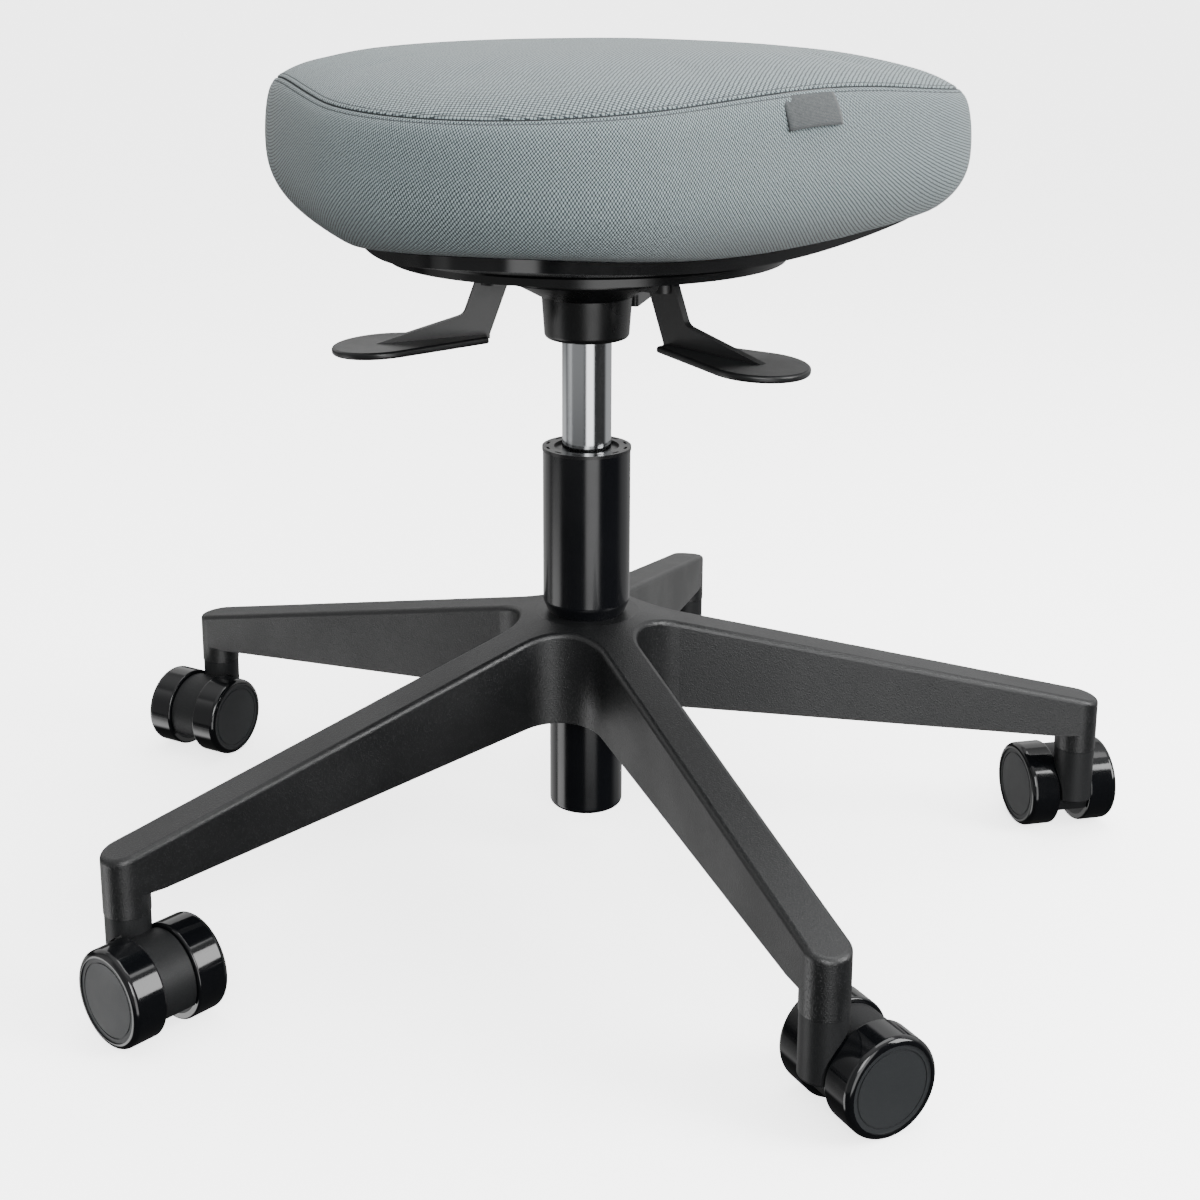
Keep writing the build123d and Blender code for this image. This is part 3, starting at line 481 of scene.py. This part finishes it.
# Seat pan: glossy black moulding screwed under the board. It has a round ring below, a
# recessed step and a dished rim that follows the cushion's outline.
pan_plastic = hazed_finish(
    "pan_plastic",
    low_tone=(0.004, 0.0045, 0.005),
    high_tone=(0.007, 0.0075, 0.008),
    roughness=(0.14, 0.24),
    patches=18.0,
    ripple_depth=0.00003,
)
dress(pan_plastic, "seat_pan")


# Seat board: pressed birch plywood inside the cushion, shown only if the seat is opened.
# The face veneer has long grain streaks with darker pores.
board_wood, nodes, links, shader = node_material("board_wood")
board_coords = nodes.new("ShaderNodeTexCoord")
board_stretch = nodes.new("ShaderNodeMapping")
board_stretch.inputs["Scale"].default_value = (9.0, 140.0, 140.0)
links.new(board_coords.outputs["Object"], board_stretch.inputs["Vector"])
board_grain = nodes.new("ShaderNodeTexNoise")
board_grain.inputs["Scale"].default_value = 1.0
board_grain.inputs["Detail"].default_value = 6.0
links.new(board_stretch.outputs["Vector"], board_grain.inputs["Vector"])
board_tone = mix_tones(nodes, links, board_grain.outputs["Fac"], (0.3, 0.19, 0.1), (0.55, 0.4, 0.24))
links.new(board_tone, shader.inputs["Base Color"])
set_shader(board_wood, {"Roughness": 0.65})
dress(board_wood, "seat_board")


# Seat cushion: moulded foam under two panels of grey hopsack, a crowned top and a side
# band, joined by one seam round the upper edge. The band is pulled down into the pan.
corner_angles = (-90.0, 30.0, 150.0)
spokes = 240
dish_flat_radius = 0.113
dish_slope = tan(radians(10.8))
pan_top = 0.3663
board_top = 0.3756
board_side = 0.1116
board_vertex = 0.1786
bulge_height = 0.415
bulge_side = 0.1705
bulge_vertex = 0.2165
band_bow = 0.07
undercut_height = 0.054
undercut_depth = 0.062
undercut_power = 2.8
seam_middle = 0.4487
seam_swing = 0.0045
seam_side = 0.1635
seam_vertex = 0.2075
crown_top = 0.4695
crown_power = 2.5
shoulder_drop = 0.0085
shoulder_power = 15
wall_lean_share = 0.55
wall_lean_power = 2
wall_tuck_power = 8
lining_shares = (0.12, 0.5, 0.97)
tuck_reaches = (0.0005, 0.006)
undercut_steps = (1.0, 0.93, 0.86, 0.79, 0.72, 0.64, 0.56, 0.48, 0.4, 0.32, 0.24, 0.16, 0.08)
wall_steps = (0.0, 0.12, 0.25, 0.38, 0.51, 0.63, 0.73, 0.81, 0.87, 1.0)
crown_shares = (0.97, 0.945, 0.915, 0.88, 0.84, 0.78, 0.71, 0.64, 0.56, 0.48, 0.4, 0.32, 0.24, 0.16, 0.08)
half_corner = radians(60)


def triangle_radius(angle, side_reach, vertex_reach, bow):
    """Reach of the rounded triangle of six arcs at an angle in degrees."""
    corner_radius = 2 * side_reach - vertex_reach - bow
    corner_centre = vertex_reach - corner_radius
    bite = side_reach - corner_radius
    side_centre = (corner_centre**2 - bite**2) / bow
    swing = atan2(side_centre * sin(half_corner), corner_centre + side_centre * cos(half_corner))
    join = atan2(corner_radius * sin(swing), corner_centre + corner_radius * cos(swing))
    from_corner = min(abs((angle - corner + 180) % 360 - 180) for corner in corner_angles)
    turn = radians(from_corner)
    if turn <= join:
        return corner_centre * cos(turn) + sqrt(corner_radius**2 - (corner_centre * sin(turn)) ** 2)
    turn = half_corner - turn
    side_radius = side_centre + side_reach
    return -side_centre * cos(turn) + sqrt(side_radius**2 - (side_centre * sin(turn)) ** 2)


def dish_height(reach):
    """Height of the pan's upper face at a reach from the column axis."""
    return pan_top + max(0.0, reach - dish_flat_radius) * dish_slope


def seam_height(angle):
    """The seam rises at the middle of each side and dips at each corner."""
    return seam_middle - seam_swing * cos(radians(3 * (angle - corner_angles[0])))


def spoke_angle(index):
    """Angle of one spoke of the cushion; the first is at the middle of the back."""
    return 90.0 + 360.0 * index / spokes


def ring_points(side_reach, vertex_reach, height_at):
    """One ring of the cushion, whose height is a function of angle and reach."""
    ring = []
    for index in range(spokes):
        angle = spoke_angle(index)
        reach = triangle_radius(angle, side_reach, vertex_reach, side_reach * band_bow)
        ring.append(
            Vector((reach * cos(radians(angle)), reach * sin(radians(angle)), height_at(angle, reach)))
        )
    return ring


def undercut_ring(step):
    """A ring of the band below its widest line, stopped by the pan's dish."""
    drawn = undercut_depth * step**undercut_power
    height = bulge_height - undercut_height * step
    return ring_points(
        bulge_side - drawn,
        bulge_vertex - drawn,
        lambda angle, reach: max(height, dish_height(reach)),
    )


def wall_ring(step):
    """A ring of the band between its widest line and the seam."""
    share = wall_lean_share * step**wall_lean_power + (1 - wall_lean_share) * step**wall_tuck_power
    return ring_points(
        bulge_side + (seam_side - bulge_side) * share,
        bulge_vertex + (seam_vertex - bulge_vertex) * share,
        lambda angle, reach: bulge_height + (seam_height(angle) - bulge_height) * step,
    )


def crown_ring(share):
    """A ring of the top panel, at a share of the seam's reach."""
    return ring_points(
        seam_side * share,
        seam_vertex * share,
        lambda angle, reach: crown_top
        - (crown_top - shoulder_drop - seam_height(angle)) * share**crown_power
        - shoulder_drop * share**shoulder_power,
    )


cushion_rings = []
for share in lining_shares:
    cushion_rings.append(
        ring_points(
            board_side * share,
            board_vertex * share,
            lambda angle, reach: dish_height(reach) + board_top - pan_top,
        )
    )
for grow in tuck_reaches:
    cushion_rings.append(
        ring_points(board_side + grow, board_vertex + grow, lambda angle, reach: dish_height(reach))
    )
for step in undercut_steps:
    cushion_rings.append(undercut_ring(step))
held_rings = 13
for step in wall_steps:
    cushion_rings.append(wall_ring(step))
seam_index = len(cushion_rings) - 1
for share in crown_shares:
    cushion_rings.append(crown_ring(share))


def ring_faces(ring_count):
    """Quads between neighbouring rings of spokes, and a fan at each end."""
    faces = []
    for level in range(ring_count - 1):
        for index in range(spokes):
            after = (index + 1) % spokes
            low = level * spokes
            high = low + spokes
            faces.append((low + index, low + after, high + after, high + index))
    bottom_centre = ring_count * spokes
    top_centre = bottom_centre + 1
    last = (ring_count - 1) * spokes
    for index in range(spokes):
        after = (index + 1) % spokes
        faces.append((bottom_centre, after, index))
        faces.append((top_centre, last + index, last + after))
    return faces


def ring_mesh_points(rings):
    """All points of the rings, followed by the two end centres."""
    points = [point for ring in rings for point in ring]
    for ring in (rings[0], rings[-1]):
        points.append(sum(ring, Vector()) / len(ring))
    return points


weave_strength = 0.7
melange_share = 0.75
wander_swing = 1.5
fuzz_height = 0.35
weave, nodes, links, entry, end = new_group(
    "hopsack_weave",
    [
        ("Row pitch", "NodeSocketFloat", 0.0016),
        ("Dot pitch", "NodeSocketFloat", 0.0013),
    ],
    [
        ("Height", "NodeSocketFloat"),
        ("Thread", "NodeSocketFloat"),
        ("Slub", "NodeSocketFloat"),
    ],
)
weave_coords = nodes.new("ShaderNodeTexCoord")
weave_split = nodes.new("ShaderNodeSeparateXYZ")
links.new(weave_coords.outputs["UV"], weave_split.inputs[0])
weave_wander = nodes.new("ShaderNodeTexNoise")
weave_wander.inputs["Scale"].default_value = 260.0
weave_wander.inputs["Detail"].default_value = 2.0
links.new(weave_coords.outputs["UV"], weave_wander.inputs["Vector"])
wander = link_math(nodes, links, "SUBTRACT", weave_wander.outputs["Fac"], 0.5)
wander = link_math(nodes, links, "MULTIPLY", wander, wander_swing)
waves = []
for axis, pitch in (("X", "Dot pitch"), ("Y", "Row pitch")):
    phase = link_math(nodes, links, "DIVIDE", weave_split.outputs[axis], entry.outputs[pitch])
    phase = link_math(nodes, links, "MULTIPLY", phase, pi)
    phase = link_math(nodes, links, "ADD", phase, wander)
    wave = link_math(nodes, links, "SINE", phase)
    waves.append(link_math(nodes, links, "ABSOLUTE", wave))
thread = link_math(nodes, links, "MULTIPLY", waves[0], waves[1])
thread = smooth_ramp(nodes, links, thread, 0.12, 0.62)
slub = nodes.new("ShaderNodeTexNoise")
slub.inputs["Scale"].default_value = 560.0
slub.inputs["Detail"].default_value = 3.0
links.new(weave_coords.outputs["UV"], slub.inputs["Vector"])
fuzz = link_math(nodes, links, "MULTIPLY", slub.outputs["Fac"], fuzz_height)
links.new(link_math(nodes, links, "ADD", thread, fuzz), end.inputs["Height"])
links.new(thread, end.inputs["Thread"])
links.new(slub.outputs["Fac"], end.inputs["Slub"])


def woven_cloth(name, gap_tone, thread_tone, row_pitch, dot_pitch, depth):
    """Woven cloth: pale thread crowns over darker gaps, with slubs and a soft sheen."""
    material, nodes, links, shader = node_material(name)
    cloth = place_group(nodes, weave, {"Row pitch": row_pitch, "Dot pitch": dot_pitch})
    tone = mix_tones(nodes, links, cloth.outputs["Thread"], gap_tone, thread_tone)
    melange = nodes.new("ShaderNodeMix")
    melange.data_type = "RGBA"
    melange.blend_type = "MULTIPLY"
    melange.inputs["Factor"].default_value = melange_share
    links.new(tone, melange.inputs["A"])
    slub_tone = nodes.new("ShaderNodeValToRGB")
    slub_tone.color_ramp.elements[0].position = 0.3
    slub_tone.color_ramp.elements[0].color = (0.62, 0.63, 0.63, 1.0)
    slub_tone.color_ramp.elements[1].position = 0.68
    slub_tone.color_ramp.elements[1].color = (1.0, 1.0, 1.0, 1.0)
    links.new(cloth.outputs["Slub"], slub_tone.inputs["Fac"])
    links.new(slub_tone.outputs["Color"], melange.inputs["B"])
    links.new(melange.outputs["Result"], shader.inputs["Base Color"])
    raise_surface(nodes, links, shader, cloth.outputs["Height"], weave_strength, depth)
    set_shader(
        material,
        {"Roughness": 0.88, "Specular IOR Level": 0.25, "Sheen Weight": 0.25, "Sheen Roughness": 0.5},
    )
    return material


seat_cloth = woven_cloth(
    "seat_cloth",
    gap_tone=(0.05, 0.064, 0.068),
    thread_tone=(0.45, 0.545, 0.565),
    row_pitch=0.0018,
    dot_pitch=0.0018,
    depth=0.0003,
)
foam_swell = 0.002
foam_frames = 20
seam_hold = 0.85
start_points = ring_mesh_points(cushion_rings)
blank = mesh_piece("foam_blank", start_points, ring_faces(len(cushion_rings)), seat_cloth)
held = blank.vertex_groups.new(name="held")
held.add(list(range(held_rings * spokes)) + [len(start_points) - 2], 1.0, "REPLACE")
held.add(list(range(seam_index * spokes, (seam_index + 1) * spokes)), seam_hold, "REPLACE")
cloth = blank.modifiers.new("swell", "CLOTH")
cloth.settings.quality = 6
cloth.settings.mass = 0.3
cloth.settings.tension_stiffness = 25.0
cloth.settings.compression_stiffness = 25.0
cloth.settings.shear_stiffness = 12.0
cloth.settings.bending_stiffness = 4.0
cloth.settings.use_pressure = True
cloth.settings.uniform_pressure_force = 4.0
cloth.settings.vertex_group_mass = "held"
cloth.settings.effector_weights.gravity = 0.0
cloth.collision_settings.use_collision = False
cloth.point_cache.frame_start = 1
cloth.point_cache.frame_end = foam_frames
for frame_number in range(1, foam_frames + 1):
    scene.frame_set(frame_number)
swollen = blank.evaluated_get(bpy.context.evaluated_depsgraph_get())
for number, start in enumerate(start_points[: len(cushion_rings) * spokes]):
    move = swollen.data.vertices[number].co - start
    move *= foam_swell / (foam_swell + move.length)
    cushion_rings[number // spokes][number % spokes] = start + move
scene.frame_set(1)
bpy.data.objects.remove(blank)

seam_half = [
    (0.0005, -0.0004),
    (0.0013, 0.0001),
    (0.0022, 0.0),
    (0.0025, -0.0001),
    (0.0028, -0.0003),
    (0.0031, -0.0001),
    (0.0034, 0.0),
    (0.0042, 0.0),
]
seam_depth = 0.0018
seam_profile = [(-along, rise) for along, rise in reversed(seam_half)]
seam_profile += [(0.0, -seam_depth)] + seam_half
seam_steps = [along for along, rise in seam_profile]
seam_lift = radians(42)
stitch_offset = 0.0028
seam_rings = [[] for step in seam_profile]


def seam_outward(place):
    """Direction out of the cushion's upper edge at a place on the seam."""
    level_out = Vector((place.x, place.y, 0.0)).normalized()
    return level_out * cos(seam_lift) + Vector((0, 0, sin(seam_lift)))


for index in range(spokes):
    below = cushion_rings[seam_index - 1][index]
    middle = cushion_rings[seam_index][index]
    above = cushion_rings[seam_index + 1][index]
    out = seam_outward(middle)
    down = (below - middle).normalized()
    inward = (above - middle).normalized()
    for ring, (along, rise) in zip(seam_rings, seam_profile):
        ring.append(middle + (inward if along > 0 else down) * abs(along) + out * rise)
finished_rings = cushion_rings[:seam_index] + seam_rings + cushion_rings[seam_index + 1 :]
cushion = mesh_piece(
    "seat_cushion_cloth", ring_mesh_points(finished_rings), ring_faces(len(finished_rings)), seat_cloth
)
# Painted shade: the faces down the middle of the seam's groove get a darker copy of the cloth, standing
# in for the shade that falls in the groove.
seam_painted_shade = hazed_finish(
    "seam_painted_shade",
    low_tone=(0.03, 0.035, 0.037),
    high_tone=(0.06, 0.068, 0.07),
    roughness=(0.75, 0.9),
    patches=900.0,
    ripple_depth=0.00004,
)
# Painted shade: the faces along the shallow channel of each stitch row get a darker copy of the cloth,
# standing in for the shade in the channel.
stitch_painted_shade = hazed_finish(
    "stitch_painted_shade",
    low_tone=(0.05, 0.058, 0.061),
    high_tone=(0.09, 0.1, 0.104),
    roughness=(0.75, 0.9),
    patches=900.0,
    ripple_depth=0.00004,
)
# Both darker copies go on as extra materials of the cushion: painted shade in the seam's groove and in
# the two stitch channels.
for painted_shade_material, places in ((seam_painted_shade, (0.0,)), (stitch_painted_shade, (-stitch_offset, stitch_offset))):
    cushion.data.materials.append(painted_shade_material)
    for along in places:
        level = seam_index + seam_steps.index(along)
        for polygon in cushion.data.polygons[(level - 1) * spokes : (level + 1) * spokes]:
            polygon.material_index = len(cushion.data.materials) - 1

band_levels = seam_index + len(seam_profile) // 2
band_gauge = seam_index - 8
band_flat_radius = 0.4
band_zero = radians(-60.0)
band_turn = radians(35.0)
around = [0.0]
for index in range(spokes):
    step = cushion_rings[band_gauge][(index + 1) % spokes] - cushion_rings[band_gauge][index]
    around.append(around[-1] + step.length)
climb = [0.0]
for level in range(1, len(finished_rings)):
    climb.append(climb[-1] + (finished_rings[level][0] - finished_rings[level - 1][0]).length)
cushion_uv = cushion.data.uv_layers.new(name="grain")
right_side = around[spokes] * 2 / 3
for polygon in cushion.data.polygons:
    members = [cushion.data.loops[loop].vertex_index for loop in polygon.loop_indices]
    on_band = max(members) < (band_levels + 1) * spokes
    wraps = any(member % spokes == 0 for member in members)
    wraps = wraps and any(member % spokes == spokes - 1 for member in members)
    for loop, member in zip(polygon.loop_indices, members):
        place = cushion.data.vertices[member].co
        if not on_band:
            cushion_uv.data[loop].uv = (place.x, place.y)
            continue
        index = member % spokes
        index = spokes if wraps and index == 0 else index
        swing = (around[index] - right_side) / band_flat_radius + band_zero
        reach = band_flat_radius + climb[member // spokes]
        cushion_uv.data[loop].uv = (reach * cos(swing + band_turn), reach * sin(swing + band_turn))
smooth = cushion.modifiers.new("smooth", "SUBSURF")
smooth.levels = 1
smooth.render_levels = 1
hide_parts("seat_cushion")
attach(cushion, "seat")


# Topstitching: a row of lockstitch on each side of the seam, in thread a shade darker than
# the cloth. Each stitch is a short length of thread that dips into the cloth at both ends.
stitch_pitch = 0.0034
stitch_length = 0.0026
thread_radius = 0.00024
thread_rise = 0.0005
thread_sink = 0.00025
thread_end_share = 0.45
thread_sides = 5
thread_sections = 5
thread_material = hazed_finish(
    "seat_thread",
    low_tone=(0.08, 0.092, 0.096),
    high_tone=(0.14, 0.158, 0.162),
    roughness=(0.6, 0.75),
    patches=900.0,
    ripple_depth=0.00004,
)


def even_points(ring, pitch):
    """Points at an even pitch along a closed ring, each with the ring's direction."""
    spots = []
    waiting = pitch / 2
    for index, start in enumerate(ring):
        step = ring[(index + 1) % len(ring)] - start
        while waiting < step.length:
            spots.append((start + step.normalized() * waiting, step.normalized()))
            waiting += pitch
        waiting -= step.length
    return spots


stitch_points = []
stitch_faces = []
for along in (-stitch_offset, stitch_offset):
    row = seam_steps.index(along)
    for spot, run in even_points(seam_rings[row], stitch_pitch):
        out = seam_outward(spot)
        side = run.cross(out).normalized()
        out = side.cross(run)
        first = len(stitch_points)
        for section in range(thread_sections):
            part = section / (thread_sections - 1)
            arch = 4 * part * (1 - part)
            centre = spot + run * (part - 0.5) * stitch_length + out * (thread_rise * arch - thread_sink)
            thickness = thread_radius * (thread_end_share + (1 - thread_end_share) * arch)
            for corner in range(thread_sides):
                turn = 2 * pi * corner / thread_sides
                stitch_points.append(centre + (side * cos(turn) + out * sin(turn)) * thickness)
        for section in range(thread_sections - 1):
            for corner in range(thread_sides):
                after = (corner + 1) % thread_sides
                low = first + section * thread_sides
                high = low + thread_sides
                stitch_faces.append((low + corner, low + after, high + after, high + corner))
stitches = mesh_piece("seam_stitches", stitch_points, stitch_faces, thread_material)
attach(stitches, "seat")


# Seat tag: a bare woven label, sewn into the seam on the right front side. It stands off
# the band, with a soft curl towards its free edge.
tag_length = 0.039
tag_drop = 0.0185
tag_angle = -30.0
tag_from_middle = -0.018
tag_lean = radians(32)
tag_curl = radians(14)
tag_wave = radians(4)
tag_wave_turns = 3
tag_standoff = 0.0009
tag_lift = 0.0004
tag_thickness = 0.0009
tag_columns = 16
tag_rows = 10
tag_cloth = woven_cloth(
    "tag_cloth",
    gap_tone=(0.075, 0.084, 0.087),
    thread_tone=(0.14, 0.15, 0.153),
    row_pitch=0.0007,
    dot_pitch=0.0005,
    depth=0.00008,
)
tag_out = Vector((cos(radians(tag_angle)), sin(radians(tag_angle)), 0.0))
tag_along = Vector((-tag_out.y, tag_out.x, 0.0))
seam_bottom = seam_rings[len(seam_profile) // 2]
tag_points = []
tag_faces = []
for row in range(tag_rows + 1):
    part = row / tag_rows
    for column in range(tag_columns + 1):
        offset = tag_from_middle + (column / tag_columns - 0.5) * tag_length
        nearest = min(
            seam_bottom, key=lambda point: abs(point.dot(tag_along) - offset) - point.dot(tag_out)
        )
        lean = tag_lean - tag_curl * (part - 0.5) + tag_wave * sin(tag_wave_turns * column / tag_columns)
        fall = tag_out * sin(lean) - Vector((0, 0, cos(lean)))
        root = tag_out * (nearest.dot(tag_out) + tag_standoff) + tag_along * offset
        tag_points.append(root + Vector((0, 0, nearest.z + tag_lift)) + fall * tag_drop * part)
for row in range(tag_rows):
    for column in range(tag_columns):
        low = row * (tag_columns + 1) + column
        high = low + tag_columns + 1
        tag_faces.append((low, high, high + 1, low + 1))
tag = mesh_piece("seat_tag_cloth", tag_points, tag_faces, tag_cloth)
tag_uv = tag.data.uv_layers.new(name="grain")
for polygon in tag.data.polygons:
    for loop in polygon.loop_indices:
        member = tag.data.loops[loop].vertex_index
        across = (member % (tag_columns + 1)) / tag_columns * tag_length
        tag_uv.data[loop].uv = (across, member // (tag_columns + 1) / tag_rows * tag_drop)
tag_body = tag.modifiers.new("folded", "SOLIDIFY")
tag_body.thickness = tag_thickness
tag_body.offset = 0.0
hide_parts("seat_tag")
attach(tag, "seat")


# Casters: hooded twin wheels on steel stems. The hood and the wheel discs are dark matte
# nylon, and the tyres are hard black polyurethane, moulded to a gloss.
caster_count = 5
caster_nylon = grained_plastic(
    "caster_nylon",
    dark=(0.014, 0.0147, 0.0155),
    light=(0.022, 0.0228, 0.0238),
    roughness=(0.42, 0.52),
    grains=1700.0,
    depth=0.0001,
)
set_shader(caster_nylon, {"Specular IOR Level": 0.35})
disc_nylon = grained_plastic(
    "disc_nylon",
    dark=(0.03, 0.0325, 0.0345),
    light=(0.042, 0.045, 0.047),
    roughness=(0.4, 0.5),
    grains=2000.0,
    depth=0.00006,
)
tyre_gloss = hazed_finish(
    "tyre_gloss",
    low_tone=(0.003, 0.0035, 0.0045),
    high_tone=(0.005, 0.0055, 0.0065),
    roughness=(0.08, 0.16),
    patches=60.0,
    ripple_depth=0.00003,
)
set_shader(tyre_gloss, {"Coat Weight": 0.3, "Coat Roughness": 0.08})
for number in range(1, caster_count + 1):
    dress(caster_nylon, f"caster_housing_{number}")
    dress(plain_steel, f"caster_stem_{number}", f"caster_axle_{number}")
    for side in ("left", "right"):
        dress(disc_nylon, f"wheel_{number}_{side}")
        dress(tyre_gloss, f"tyre_{number}_{side}")
